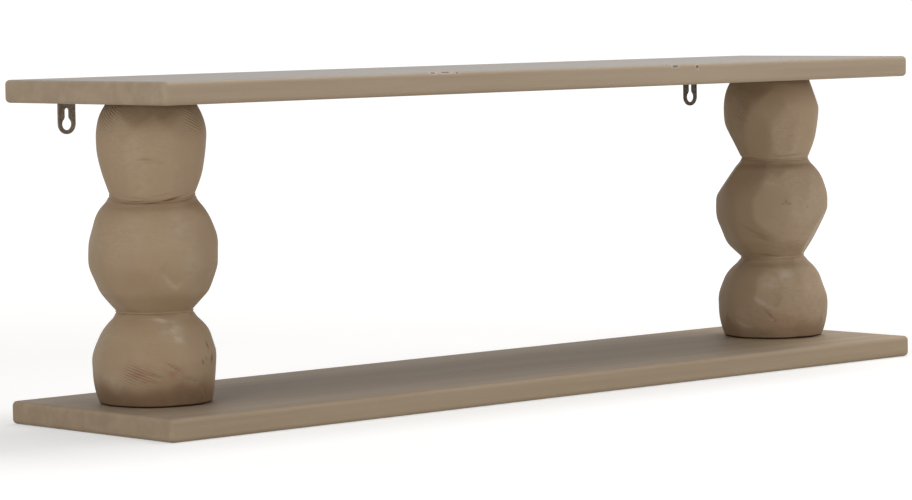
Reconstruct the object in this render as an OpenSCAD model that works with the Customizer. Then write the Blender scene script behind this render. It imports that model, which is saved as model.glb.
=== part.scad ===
// Wall shelf: two eased boards held apart by two hand-carved posts of three bobbins each,
// with two keyhole plates below the back edge of the top board.
// The origin is the middle of the footprint, on the underside of the bottom board.
// +X runs along the boards, +Y points at the wall and +Z up. Lengths are in millimetres.

/* [Boards] */
// Length of both boards
board_l = 800; // [500:10:1200]
// Depth of both boards, from the wall to the front
board_d = 190; // [150:5:300]
// Thickness of both boards
board_t = 17; // [15:0.5:30]
// Radius of the eased long and end edges
edge_r = 3.5; // [0.5:0.5:4]
// How much rounder than their edges the boards' upright corners are
corner_past = 0.5; // [0.5:0.5:8]

/* [Posts] */
// From a board's end to the axis of its post
post_inset = 64; // [60:1:150]
// How far the posts stand behind the middle of the boards
post_setback = 2.5; // [0:0.5:20]
// Height of the lower bobbin
lower_h = 67.5; // [55:0.5:90]
// Height of the middle bobbin
middle_h = 85; // [70:0.5:110]
// Height of the upper bobbin
upper_h = 67.5; // [58:0.5:90]
// Height of the lower bobbin's belly above its own foot
lower_belly_z = 25.5; // [20:0.5:36]
// Height of the middle bobbin's belly above its own foot
middle_belly_z = 44; // [30:0.5:52]
// Height of the upper bobbin's belly above its own foot
upper_belly_z = 41.5; // [28:0.5:44]
// Radius of the lower bobbin's belly
lower_belly_r = 46.4; // [42:0.1:52]
// Radius of the middle bobbin's belly
middle_belly_r = 47.4; // [42:0.1:54]
// Radius of the upper bobbin's belly
upper_belly_r = 40.8; // [38:0.1:50]
// Radius where a post stands on the bottom board
foot_r = 41; // [32:0.5:41.5]
// Radius where a post meets the top board
crown_r = 32.5; // [30:0.5:37]
// Radius of the neck between the lower and middle bobbins
lower_neck_r = 28.8; // [24:0.1:34]
// Radius of the neck between the middle and upper bobbins
upper_neck_r = 32.1; // [24:0.1:34]
// Height of the narrow band left between two bobbins
neck_band = 2; // [1:0.5:5]
// How far the band lies inside the bobbins' ends
neck_inset = 1; // [0.6:0.1:3]

/* [Carving] */
// Number of flats in each of the five rows round a bobbin
flats_around = 13; // [8:1:16]
// Mean depth of the flats inside the round form that they follow
flat_depth = 1; // [0.4:0.1:2]
// How far a flat's depth strays from the mean
depth_stray = 0.6; // [0:0.1:1]
// How far a flat turns from an even spacing, in degrees
turn_stray = 6; // [0:1:9]
// How far a flat leans from its row, in degrees
lean_stray = 4; // [0:1:6]

/* [Post screws] */
// Length of a post screw with its head
screw_l = 40; // [34:1:50]
// Diameter of a post screw
screw_d = 4.5; // [3.5:0.1:5.5]
// Diameter of a post screw's countersunk head
screw_head_d = 8.6; // [7:0.1:9.4]
// Distance between the two screws at one end of a post
screw_spread = 28; // [20:1:40]
// Diameter of the plugs over the upper screws
plug_d = 10; // [9.6:0.1:13]
// Depth that the upper screws are sunk below the plugs
plug_h = 5; // [3:0.5:7]
// How far the lower screws' heads are sunk into the underside
head_sink = 0.5; // [0.2:0.1:2]

/* [Hanger plates] */
// From a board's end to the middle of its plate
plate_inset = 62; // [40:1:150]
// How far both plates sit to the left of an even spacing
plate_shift = 5; // [0:0.5:10]
// Width of a plate
plate_w = 15.8; // [14:0.2:22]
// Thickness of a plate
plate_t = 1.5; // [1:0.1:2.5]
// How far a plate hangs below the top board
plate_drop = 25; // [22:0.5:34]
// How far a plate reaches up the back edge
plate_rise = 13.7; // [13.3:0.1:14.2]
// Diameter of the keyhole's entry
entry_d = 9.2; // [8:0.1:11]
// Height of the entry's centre above the plate's lower end
entry_rise = 7.6; // [7:0.1:10]
// Width of the keyhole's slot
slot_w = 4.3; // [3.5:0.1:5.5]
// Height of the slot's upper end above the entry's centre
slot_rise = 12; // [9:0.1:13]
// Height of the eased shoulders between entry and slot, above the entry's centre
shoulder_rise = 5.2; // [4.8:0.1:6]
// Length of a plate screw with its head
plate_screw_l = 12; // [8:1:20]
// Diameter of a plate screw
plate_screw_d = 2.8; // [2:0.1:3]
// Diameter of a plate screw's head
plate_head_d = 5.2; // [4.5:0.1:5.6]
// Height of the lower plate screw above the underside of the top board
plate_screw_z = 3.6; // [3.4:0.1:3.8]
// Distance between a plate's two screws
plate_screw_gap = 6.8; // [6.4:0.1:7]

/* [Fits] */
// Gap round a screw in the hole that it passes through
screw_fit = 0.15; // [0.05:0.05:0.4]
// Gap round a screw in the wood that holds it, its thread left out
bite_fit = 0.05; // [0.02:0.01:0.1]
// Gap round a plug
plug_fit = 0.05; // [0.02:0.01:0.2]
// Gap round a plate in its pocket
plate_fit = 0.25; // [0.1:0.05:0.5]

/* [Hidden] */
$fn = 72;
post_h = lower_h + middle_h + upper_h;
top_z = board_t + post_h;
height = top_z + board_t;
post_x = board_l / 2 - post_inset;
plate_x = board_l / 2 - plate_inset;
back_y = board_d / 2;
corner_r = edge_r + corner_past;
over = 1;
tip_l = 6;
drive_w_share = 0.18;
drive_l_share = 0.6;
drive_depth_share = 0.2;
shoulder_turn = 37;
paint = "#978573";
bare_paint = "#8d7c6a";
bronze = "#4c4136";
zinc = "#a9a596";

// Each bobbin from below: foot height, height, belly height, and the radii of foot, belly and top
bobbins = [
  [0, lower_h, lower_belly_z, foot_r, lower_belly_r, lower_neck_r],
  [lower_h, middle_h, middle_belly_z, lower_neck_r, middle_belly_r, upper_neck_r],
  [lower_h + middle_h, upper_h, upper_belly_z, upper_neck_r, upper_belly_r, crown_r]
];

// Deeper cuts, which make the right post lean: bobbin from below, turn, tilt and depth
deep_cuts = [
  [[1, 131, -39, 1], [0, 317, -5, 3.2], [1, 304, -22, 1.5]],
  [
    [1, 133, 35, 6.2], [1, 305, -28, 5.9], [2, 133, -27, 5.6],
    [0, 142, 50, 3.2], [2, 313, 19, 2.7], [1, 313, 40, 1.2]
  ]
];

// Lean of one row of flats past the next, as a share of the lean at the end of the arc
row_step = 0.43;

// Turn of one row of flats past the next, as a share of the spacing round the bobbin
row_turn = 0.38;

// Where the rows of flats of each post start to turn, by post and bobbin
first_turn = [[16, 4, 15], [13, 0, 5]];

SIDES = ["left", "right"];

// -1 for the left side, 1 for the right
function side(i) = 2 * i - 1;

// Radius of the arc that leaves a belly upright and draws in by dr over the height dz
function bow(dr, dz) = (dr * dr + dz * dz) / (2 * dr);

// A repeatable value between -1 and 1 that jumps about as i counts up
function scatter(i) = sin(137.5 * i + 20);

// A rectangle in the middle with its corners rounded
module eased_rectangle(w, h, r) {
  square([w - 2 * r, h], center = true);
  square([w, h - 2 * r], center = true);
  for (x = [-1, 1], y = [-1, 1])
    translate([x * (w / 2 - r), y * (h / 2 - r)]) circle(r);
}

// A board lying on z = 0: two crossing slabs with eased edges, and a turned piece in each corner,
// so that the easing runs on round the corners
module eased_board() {
  translate([0, 0, board_t / 2]) {
    rotate([90, 0, 0])
      linear_extrude(board_d - 2 * corner_r, center = true)
        eased_rectangle(board_l, board_t, edge_r);
    rotate([90, 0, 90])
      linear_extrude(board_l - 2 * corner_r, center = true)
        eased_rectangle(board_d, board_t, edge_r);
    for (x = [0, 1], y = [0, 1])
      mirror([x, 0, 0]) mirror([0, y, 0])
        translate([board_l / 2 - corner_r, board_d / 2 - corner_r, 0])
          rotate_extrude(angle = 90)
            intersection() {
              eased_rectangle(2 * corner_r, board_t, edge_r);
              translate([0, -board_t / 2]) square([corner_r, board_t]);
            }
  }
}

// Puts its children at the axis of one post
module at_post(i) {
  translate([side(i) * post_x, post_setback, 0]) children();
}

// Puts its children at screw k of a post, k being 1 or 2
module at_screw(i, k) {
  at_post(i) translate([(k - 1.5) * screw_spread, 0, 0]) children();
}

// A countersunk screw: its head's face at z = 0, its point below
module screw(l, d, head_d) {
  cone_h = (head_d - d) / 2;
  difference() {
    union() {
      translate([0, 0, -cone_h]) cylinder(h = cone_h, d1 = d, d2 = head_d);
      translate([0, 0, tip_l - l]) cylinder(h = l - tip_l - cone_h / 2, d = d);
      translate([0, 0, -l]) cylinder(h = tip_l, d1 = d / 4, d2 = d);
    }
    for (turn = [0, 90])
      rotate([0, 0, turn])
        translate([0, 0, -head_d * drive_depth_share])
          linear_extrude(head_d * drive_depth_share + over)
            square([head_d * drive_l_share, head_d * drive_w_share], center = true);
  }
}

// The hole that a screw passes through, countersunk from z = 0 downwards
module screw_passage(depth, d, head_d) {
  cone_h = (head_d - d) / 2;
  translate([0, 0, -cone_h])
    cylinder(h = cone_h, d1 = d + 2 * screw_fit, d2 = head_d + 2 * screw_fit);
  translate([0, 0, -depth]) cylinder(h = depth, d = d + 2 * screw_fit);
}

module top_board() {
  color(paint) difference() {
    translate([0, 0, top_z]) eased_board();
    for (i = [0, 1], k = [1, 2])
      at_screw(i, k) translate([0, 0, height - plug_h]) {
        cylinder(h = plug_h + over, d = plug_d + 2 * plug_fit);
        screw_passage(board_t, screw_d, screw_head_d);
      }
    for (i = [0, 1]) {
      at_plate(i) plate_pocket();
      for (e = [0, 1]) at_plate_screw(i, e) plate_screw_bore();
    }
  }
}

module bottom_board() {
  color(paint) difference() {
    eased_board();
    for (i = [0, 1], k = [1, 2])
      at_screw(i, k) mirror([0, 0, 1]) {
        translate([0, 0, -head_sink]) screw_passage(board_t, screw_d, screw_head_d);
        translate([0, 0, -head_sink])
          cylinder(h = head_sink + over, d = screw_head_d + 2 * screw_fit);
      }
  }
}

// Height from a bobbin's belly to the end of its upper or lower arc
function arc_rise(b, up) = let (d = bobbins[b])
  up ? d[1] - d[2] - (b < 2 ? neck_band / 2 : 0) : d[2] - (b > 0 ? neck_band / 2 : 0);

// Radius at the end of a bobbin's upper or lower arc
function end_r(b, up) = bobbins[b][up ? 5 : 3];

// Radius of a bobbin's upper or lower arc, which is upright at the belly
function arc_r(b, up) = bow(bobbins[b][4] - end_r(b, up), arc_rise(b, up));

// A flat as turn, tilt and distance from the middle of the belly, cut depth into the round bobbin
function flat(b, turn, tilt, depth) = let (r = arc_r(b, tilt > 0))
  [turn, tilt, (bobbins[b][4] - r) * cos(tilt) + r - depth];

// Every flat of a bobbin: five rows round it, each turned against the next, and the deep cuts
function flats(post, b) = concat(
  [for (row = [-2:2], k = [0:flats_around - 1])
    let (
      i = 500 * post + 150 * b + 20 * row + k,
      up = row > 0,
      end_tilt = asin(arc_rise(b, up) / arc_r(b, up)),
      turn = first_turn[post][b] + (k + row_turn * row) * 360 / flats_around + turn_stray * scatter(i),
      tilt = row * row_step * end_tilt + lean_stray * scatter(i + 5)
    )
    flat(b, turn, tilt, flat_depth + depth_stray * scatter(i + 9))],
  [for (cut = deep_cuts[post]) if (cut[0] == b) flat(b, cut[1], cut[2], cut[3])]
);

// A block that ends in a flat, large enough to hold the bobbin behind it
module behind_flat(f) {
  size = 4 * f[2];
  rotate([0, -f[1], f[0]]) translate([f[2] - size, -size / 2, -size / 2]) cube(size);
}

// One bobbin of a post about the middle of its belly: a log cut to length, then carved flat by flat
module bobbin(post, b) {
  log_w = 3 * bobbins[b][4];
  down = arc_rise(b, false);
  intersection() {
    translate([-log_w / 2, -log_w / 2, -down]) cube([log_w, log_w, down + arc_rise(b, true)]);
    intersection_for (f = flats(post, b)) behind_flat(f);
  }
}

// The band between two bobbins, a little thinner than their ends and let into both
module neck(z, r) {
  translate([0, 0, z - neck_band]) cylinder(h = 2 * neck_band, r = r - neck_inset);
}

module post(i) {
  color(paint) difference() {
    at_post(i) translate([0, 0, board_t]) {
      for (b = [0:2]) translate([0, 0, bobbins[b][0] + bobbins[b][2]]) bobbin(i, b);
      neck(lower_h, lower_neck_r);
      neck(lower_h + middle_h, upper_neck_r);
    }
    for (k = [1, 2]) at_screw(i, k) {
      bore_r = screw_d / 2 + bite_fit;
      upper_in = screw_l - board_t + plug_h + over;
      lower_in = screw_l - board_t + head_sink + over;
      translate([0, 0, top_z - upper_in]) cylinder(h = upper_in + over, r = bore_r);
      translate([0, 0, board_t - over]) cylinder(h = lower_in + over, r = bore_r);
    }
  }
}

module post_upper_screw(i, k) {
  color(zinc) at_screw(i, k)
    translate([0, 0, height - plug_h]) screw(screw_l, screw_d, screw_head_d);
}

module post_lower_screw(i, k) {
  color(zinc) at_screw(i, k)
    translate([0, 0, head_sink]) mirror([0, 0, 1]) screw(screw_l, screw_d, screw_head_d);
}

module plug(i, k) {
  color(bare_paint) at_screw(i, k)
    translate([0, 0, height - plug_h]) cylinder(h = plug_h, d = plug_d);
}

// Puts its children at the middle of a plate, on the wall side, level with the top board's underside
module at_plate(i) {
  translate([side(i) * plate_x - plate_shift, back_y, top_z]) children();
}

// Puts its children at one of a plate's screws, e being 0 for the lower and 1 for the upper
module at_plate_screw(i, e) {
  at_plate(i)
    translate([0, 0, plate_screw_z + e * plate_screw_gap]) rotate([-90, 0, 0]) children();
}

// The shallow pocket that lets a plate lie flush with the back edge
module plate_pocket() {
  w = plate_w + 2 * plate_fit;
  translate([-w / 2, -plate_t, -over]) cube([w, plate_t + over, plate_rise + plate_fit + over]);
}

module plate_screw_bore() {
  depth = plate_screw_l + over;
  translate([0, 0, -depth]) cylinder(h = depth, r = plate_screw_d / 2 + bite_fit);
}

// Outline of a plate seen from the front, its lower end a half circle
module plate_outline() {
  end_r = plate_w / 2;
  translate([0, end_r - plate_drop]) circle(end_r);
  translate([-end_r, end_r - plate_drop]) square([plate_w, plate_drop + plate_rise - end_r]);
}

// The keyhole: a round entry, eased shoulders and a narrow slot with a round upper end
module keyhole() {
  entry_z = entry_rise - plate_drop;
  half = slot_w / 2;
  shoulder_x = entry_d / 2 * sin(shoulder_turn);
  shoulder_z = entry_d / 2 * cos(shoulder_turn);
  translate([0, entry_z]) {
    circle(d = entry_d);
    translate([-half, 0]) square([slot_w, slot_rise - half]);
    translate([0, slot_rise - half]) circle(half);
    polygon([
      [-shoulder_x, shoulder_z], [shoulder_x, shoulder_z],
      [half, shoulder_rise], [-half, shoulder_rise]
    ]);
  }
}

module hanger_plate(i) {
  color(bronze) difference() {
    at_plate(i) rotate([90, 0, 0]) linear_extrude(plate_t)
      difference() {
        plate_outline();
        keyhole();
      }
    for (e = [0, 1])
      at_plate_screw(i, e) screw_passage(plate_t + over, plate_screw_d, plate_head_d);
  }
}

module plate_screw(i, e) {
  color(bronze) at_plate_screw(i, e) screw(plate_screw_l, plate_screw_d, plate_head_d);
}

top_board();
bottom_board();
for (i = [0, 1]) {
  post(i);
  hanger_plate(i);
  plate_screw(i, 0);
  plate_screw(i, 1);
  for (k = [1, 2]) {
    post_upper_screw(i, k);
    post_lower_screw(i, k);
    plug(i, k);
  }
}
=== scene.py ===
"""Wall shelf with hand-carved posts, dressed and lit for a studio picture.

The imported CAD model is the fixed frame. The boards, hanger plates, screws and plugs keep their CAD
shape and get their finishes here. The two posts are carved again as fine surfaces, with soft ridges
and the marks of the tools. Lengths in the carving are millimetres, everywhere else metres.
"""
import math
from collections import namedtuple

import bpy
import numpy as np
from bpy.props import FloatProperty, FloatVectorProperty, IntProperty, PointerProperty, StringProperty
from mathutils import Matrix, Vector


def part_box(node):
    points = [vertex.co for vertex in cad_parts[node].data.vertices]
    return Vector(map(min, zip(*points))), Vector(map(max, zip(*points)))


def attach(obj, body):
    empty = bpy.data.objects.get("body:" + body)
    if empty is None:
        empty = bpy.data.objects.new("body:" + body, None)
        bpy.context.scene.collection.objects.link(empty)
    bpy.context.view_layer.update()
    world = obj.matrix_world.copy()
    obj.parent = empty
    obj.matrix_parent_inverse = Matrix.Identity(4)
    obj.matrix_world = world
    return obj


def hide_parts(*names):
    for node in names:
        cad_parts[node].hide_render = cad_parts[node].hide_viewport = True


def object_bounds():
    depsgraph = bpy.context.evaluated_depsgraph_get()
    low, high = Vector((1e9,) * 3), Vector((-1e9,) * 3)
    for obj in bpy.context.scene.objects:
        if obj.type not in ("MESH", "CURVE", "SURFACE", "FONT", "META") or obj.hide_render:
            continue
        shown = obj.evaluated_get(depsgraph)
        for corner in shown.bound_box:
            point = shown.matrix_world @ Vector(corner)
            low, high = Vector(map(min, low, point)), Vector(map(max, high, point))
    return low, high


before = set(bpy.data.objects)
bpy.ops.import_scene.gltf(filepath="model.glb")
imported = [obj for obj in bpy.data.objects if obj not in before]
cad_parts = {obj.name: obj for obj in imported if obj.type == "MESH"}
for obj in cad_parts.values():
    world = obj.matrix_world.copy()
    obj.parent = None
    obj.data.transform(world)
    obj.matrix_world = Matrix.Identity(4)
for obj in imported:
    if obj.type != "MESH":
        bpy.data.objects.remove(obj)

bl_info = {
    "name": "Carved post wall shelf",
    "version": (1, 0, 0),
    "blender": (4, 5, 0),
    "location": "View3D > Sidebar > Shelf",
    "description": "Carves, paints and lights a two-board wall shelf",
    "category": "Object",
}

MM = 0.001
SIDES = ("left", "right")
CAD_BOX = [[float(v) for v in corner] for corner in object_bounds()]
LOW, HIGH = (Vector(c) for c in CAD_BOX)


class PostSettings(bpy.types.PropertyGroup):
    """Sizes of the carved posts. All but the three roundings at the end are the CAD model's."""
    inset: FloatProperty(
        name="Inset", default=0.064, unit="LENGTH",
        description="From a board's end to the axis of its post")
    setback: FloatProperty(
        name="Setback", default=0.0025, unit="LENGTH",
        description="How far the posts stand behind the middle")
    lower_height: FloatProperty(
        name="Lower bobbin", default=0.0675, unit="LENGTH", description="Height of the lower bobbin")
    middle_height: FloatProperty(
        name="Middle bobbin", default=0.085, unit="LENGTH", description="Height of the middle bobbin")
    belly_rise: FloatVectorProperty(
        name="Belly heights", default=(0.0255, 0.044, 0.0415), unit="LENGTH",
        description="Height of each belly above its bobbin's foot, from below")
    belly_radius: FloatVectorProperty(
        name="Belly radii", default=(0.0464, 0.0474, 0.0408), unit="LENGTH",
        description="Radius of each bobbin's belly, from below")
    end_radius: FloatVectorProperty(
        name="End radii", size=4, default=(0.041, 0.0288, 0.0321, 0.0325), unit="LENGTH",
        description="Radii of foot, lower neck, upper neck and crown")
    neck_band: FloatProperty(
        name="Neck band", default=0.002, unit="LENGTH",
        description="Height of the band between two bobbins")
    neck_inset: FloatProperty(
        name="Neck inset", default=0.001, unit="LENGTH",
        description="How far the band lies inside the bobbins' ends")
    flats_around: IntProperty(
        name="Flats around", default=13, description="Flats in each of the five rows round a bobbin")
    flat_depth: FloatProperty(
        name="Flat depth", default=0.001, unit="LENGTH",
        description="Mean depth of the flats inside the round form")
    depth_stray: FloatProperty(
        name="Depth stray", default=0.0006, unit="LENGTH",
        description="How far a flat's depth strays from the mean")
    ridge: FloatProperty(
        name="Ridge softness", default=0.0017, unit="LENGTH",
        description="How much sanding rounded the ridges between flats")
    late_ridge: FloatProperty(
        name="Late ridge softness", default=0.0004, unit="LENGTH",
        description="How round the edges of the late cuts are")
    end_round: FloatProperty(
        name="End rounding", default=0.002, unit="LENGTH",
        description="Rounding of a post's ends where they meet the boards")


class PaintSettings(bpy.types.PropertyGroup):
    """The paint of boards and posts, its colours as sRGB hex values."""
    board_colour: StringProperty(
        name="Board paint", default="A59279", description="Colour of the boards")
    board_streak: StringProperty(
        name="Board streaks", default="9B876E", description="Colour of the streaks along the boards")
    # Painted reflection: the grey stands for the pale room reflected at a glancing angle on the upper board's
    # top
    painted_reflection_top: StringProperty(
        name="Greyed top", default="868D94", description="Colour that daylight gave the upper board's top")
    # Painted shade: the upper board's shade on the lower board's top, from the left end to the right post
    painted_shade_inside: StringProperty(
        name="Greyed inside", default="756C65", description="Colour of the film on the lower board's top")
    chip_rim: StringProperty(
        name="Chip rims", default="AD9E8A", description="Colour of the broken paint round a chip")
    chip_wood: StringProperty(
        name="Chip wood", default="56463A", description="Colour of the bare wood in a chip")
    post_colour: StringProperty(
        name="Post paint", default="A99379", description="Colour of the posts")
    post_line: StringProperty(
        name="Post lines", default="A18B70", description="Colour of the level lines that the lathe left")
    post_patch: StringProperty(
        name="Post patches", default="A0876B", description="Colour of the thinner coat on the posts")
    rubbed_coat: StringProperty(
        name="Rubbed coat", default="96725C",
        description="Colour of the reddish coat where the paint is rubbed")
    # The pale coat is partly worn paint and partly painted highlights
    wear_and_highlight_coat: StringProperty(
        name="Worn coat", default="BDAF9B", description="Colour of the paint where wear burnished it pale")
    # Dark wax in the creases, and painted shade in creases, coves, some facets, round the feet and under the
    # crowns
    wax_and_shade_colour: StringProperty(
        name="Creases", default="60442B", description="Colour of the wax that stays in creases and pits")
    joint_colour: StringProperty(
        name="Joints", default="2B2018", description="Colour of the wax and dirt in a post's foot joint")
    roughness: FloatProperty(
        name="Roughness", default=0.62, subtype="FACTOR", min=0, max=1,
        description="Roughness of the satin paint")
    top_sheen: FloatProperty(
        name="Upper board sheen", default=0.5, subtype="FACTOR", min=0, max=1,
        description="Specular level of the paint on the upper board")
    # The lower board's film is painted shade; this sheen is the paint's own specular level
    inside_sheen: FloatProperty(
        name="Lower board sheen", default=0.35, subtype="FACTOR", min=0, max=1,
        description="Specular level of the filmed paint on the lower board")
    post_sheen: FloatProperty(
        name="Post sheen", default=0.28, subtype="FACTOR", min=0, max=1,
        description="Specular level of the duller paint on the posts")
    board_relief: FloatProperty(
        name="Board relief", default=0.00017, unit="LENGTH",
        description="Height of the grain that is felt through the boards' paint")
    post_relief: FloatProperty(
        name="Post relief", default=0.00012, unit="LENGTH",
        description="Height of the lathe marks that are felt through the posts' paint")


class HardwareSettings(bpy.types.PropertyGroup):
    """The finishes of the metal pieces, their colours as sRGB hex values."""
    bronze: StringProperty(
        name="Bronze", default="6B5E50", description="Colour of the antique bronze plating")
    bronze_rubbed: StringProperty(
        name="Rubbed bronze", default="8A7C6C", description="Colour of the plating where it is rubbed")
    # The right plate's plating is set darker than the left's
    right_plating: StringProperty(
        name="Tarnish", default="2A211A", description="Colour of the right plate's darker plating")
    right_plating_rubbed: StringProperty(
        name="Rubbed tarnish", default="5A4E42",
        description="Colour of the darker plating where it is rubbed")
    zinc: StringProperty(
        name="Screws", default="B9B4A6", description="Colour of the zinc plating")


class StageSettings(bpy.types.PropertyGroup):
    """Camera, lamps and floor."""
    camera_place: FloatVectorProperty(
        name="Camera", default=(-2.0279, -2.1323, 0.3125), subtype="TRANSLATION", unit="LENGTH",
        description="Where the camera stands")
    camera_turn: FloatProperty(
        name="Turn", default=math.radians(43.05), unit="ROTATION",
        description="Compass angle of the view, clockwise from +Y")
    camera_pitch: FloatProperty(
        name="Pitch", default=math.radians(3.943), unit="ROTATION",
        description="How far the view looks down")
    camera_roll: FloatProperty(
        name="Roll", default=math.radians(-0.868), unit="ROTATION",
        description="Turn of the camera about its view")
    focal_length: FloatProperty(
        name="Focal length", default=147.1, description="Focal length in millimetres")
    sky_strength: FloatProperty(
        name="Room light", default=0.1, description="Strength of the even light from all round")
    lamp_size: FloatProperty(
        name="Lamp size", default=1.4, unit="LENGTH", description="Side of each square soft lamp")
    lamp_distance: FloatProperty(
        name="Lamp distance", default=2.6, unit="LENGTH",
        description="From the shelf's middle to each lamp")
    floor_colour: StringProperty(
        name="Floor", default="DEDDDB", description="Colour of the floor's paper as an sRGB hex value")


# Soft lamps round the shelf: turn from +X and angle above the floor in degrees, and power in watts
LAMPS = {
    "front_lamp": (-90, 10, 14.6),
    "front_right_lamp": (-45, 10, 13),
    "left_low_lamp": (195, 10, 16.5),
    "left_high_lamp": (195, 35, 11.2),
    "right_high_lamp": (0, 60, 34),
    "top_lamp": (0, 89, 12.5),
}


def linear(hex_colour):
    """The linear RGBA of an sRGB hex value."""
    channels = [int(hex_colour[i:i + 2], 16) / 255 for i in (0, 2, 4)]
    return [c / 12.92 if c <= 0.04045 else ((c + 0.055) / 1.055) ** 2.4 for c in channels] + [1]


def add_node(tree, kind, inputs=None, **settings):
    """Adds a node with its settings. An input is a value, a socket, or a node for its first output."""
    node = tree.nodes.new(kind)
    for name, value in settings.items():
        setattr(node, name, value)
    for name, value in (inputs or {}).items():
        if isinstance(value, bpy.types.Node):
            value = value.outputs[0]
        if isinstance(value, bpy.types.NodeSocket):
            tree.links.new(value, node.inputs[name])
        else:
            node.inputs[name].default_value = value
    return node


def new_material(name):
    """An empty node material, its node tree, and the Object coordinates that its patterns start from."""
    material = bpy.data.materials.new(name)
    material.use_nodes = True
    tree = material.node_tree
    tree.nodes.clear()
    place = add_node(tree, "ShaderNodeTexCoord").outputs["Object"]
    return material, tree, place


# The scale s of a noise is worked out from the size of its blobs, about 1000 / s millimetres, and that of
# the wave from the spacing of its bands, 314 / s millimetres. Comments give these sizes


def satin_finish(tree, paint, sheen, colour, relief, height):
    """Ends a material with a satin coat: its colour with a soft sheen, over a relief of that height."""
    bump = add_node(tree, "ShaderNodeBump", {"Height": relief, "Strength": 0.5, "Distance": height})
    shader = add_node(tree, "ShaderNodeBsdfPrincipled", {
        "Base Color": colour, "Roughness": paint.roughness, "IOR": 1.5, "Specular IOR Level": sheen,
        "Normal": bump})
    add_node(tree, "ShaderNodeOutputMaterial", {"Surface": shader})


def coat(tree, under, over, value, low, high, strength=1.0):
    """A colour with a coat over it, given as a hex value.

    The coat's share rises softly from nothing to its strength as the value goes from low to high.
    """
    share = add_node(tree, "ShaderNodeMapRange", {
        "Value": value, "From Min": low, "From Max": high, "To Max": strength},
        interpolation_type="SMOOTHSTEP")
    return add_node(tree, "ShaderNodeMix", {"Factor": share, "A": under, "B": linear(over)},
                    data_type="RGBA").outputs["Result"]


# How far the noise moves the edge of a chip, in sizes of the chip
CHIP_RAGGED = 1.6

# Painted light on a board's upward face, a grey painted reflection on the upper board and painted shade on
# the lower: its colour, its share, and how far right of the middle it reaches in metres. It thins out over
# the fade to either side of that
PaintedLight = namedtuple("PaintedLight", "colour share reach")
PAINTED_LIGHT_FADE = 0.03


def chip_distance(tree, place, chips):
    """Distance to the nearest chip, in sizes of that chip, with an edge ragged by blobs of 1.1 mm."""
    nearest = None
    for centre, half_size in chips:
        local = add_node(tree, "ShaderNodeMapping", {
            "Vector": place, "Location": [v * MM for v in centre], "Scale": [v * MM for v in half_size]},
            vector_type="TEXTURE")
        away = add_node(tree, "ShaderNodeVectorMath", {0: local}, operation="LENGTH").outputs["Value"]
        nearest = away if nearest is None else add_node(
            tree, "ShaderNodeMath", {0: nearest, 1: away}, operation="MINIMUM")
    noise = add_node(tree, "ShaderNodeTexNoise", {"Vector": place, "Scale": 900, "Detail": 2})
    edge = add_node(tree, "ShaderNodeMath", {0: noise.outputs["Fac"], 1: CHIP_RAGGED, 2: nearest},
                    operation="MULTIPLY_ADD")
    return add_node(tree, "ShaderNodeMath", {0: edge, 1: CHIP_RAGGED / 2}, operation="SUBTRACT")


def paint_light_upward(tree, place, colour, painted_light):
    """The colour with painted light on the faces that look up, which ends at its reach to the right.

    On the upper board it is a painted reflection, on the lower one painted shade.
    """
    right = add_node(tree, "ShaderNodeSeparateXYZ", {0: place}).outputs["X"]
    share = add_node(tree, "ShaderNodeMapRange", {
        "Value": right, "From Min": painted_light.reach + PAINTED_LIGHT_FADE, "From Max": painted_light.reach - PAINTED_LIGHT_FADE,
        "To Max": painted_light.share}, interpolation_type="SMOOTHSTEP")
    facing = add_node(tree, "ShaderNodeTexCoord").outputs["Normal"]
    upward = add_node(tree, "ShaderNodeSeparateXYZ", {0: facing}).outputs["Z"]
    return coat(tree, colour, painted_light.colour, upward, 0.7, 0.98, share)


def board_paint(name, paint, sheen, painted_light, chips=()):
    """Satin acrylic furniture paint, rolled along sanded hardwood boards.

    It gives the eye an even taupe with faint streaks along the board, the grain of the wood just felt
    through it, and on one edge a few chips with bare dark wood in them and a pale broken rim. The face
    that looks up carries painted light: a grey painted reflection on the upper board, painted shade on
    the lower one.
    """
    material, tree, place = new_material(name)
    # Streaks 10 mm wide and 260 mm long
    along = add_node(tree, "ShaderNodeMapping", {"Vector": place, "Scale": (0.04, 1, 1)})
    streak = add_node(tree, "ShaderNodeTexNoise", {"Vector": along, "Scale": 95, "Detail": 4})
    colour = coat(tree, linear(paint.board_colour), paint.board_streak, streak.outputs["Fac"], 0.3, 0.7)
    # Painted light on the upward face: a painted reflection on the upper board, painted shade on the lower
    colour = paint_light_upward(tree, place, colour, painted_light)
    # Grain lines 1.5 mm apart and 30 mm long, and the paint's skin over them, with blobs of 2.4 mm
    drawn = add_node(tree, "ShaderNodeMapping", {"Vector": place, "Scale": (0.05, 1, 1)})
    grain = add_node(tree, "ShaderNodeTexNoise", {"Vector": drawn, "Scale": 650, "Detail": 2})
    skin = add_node(tree, "ShaderNodeTexNoise", {
        "Vector": place, "Scale": 420, "Detail": 3, "Roughness": 0.6})
    relief = add_node(tree, "ShaderNodeMath", {0: grain.outputs["Fac"], 1: skin.outputs["Fac"]},
                      operation="ADD")
    if chips:
        away = chip_distance(tree, place, chips)
        colour = coat(tree, colour, paint.chip_rim, away, 1.4, 1.0)
        colour = coat(tree, colour, paint.chip_wood, away, 0.8, 0.4)
        # A chip lies three times the relief's height below the paint
        dent = add_node(tree, "ShaderNodeMapRange", {
            "Value": away, "From Min": 0.5, "From Max": 1.1, "To Max": 3.0}, interpolation_type="SMOOTHSTEP")
        relief = add_node(tree, "ShaderNodeMath", {0: dent, 1: relief}, operation="ADD")
    satin_finish(tree, paint, sheen, colour, relief, paint.board_relief)
    return material


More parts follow.
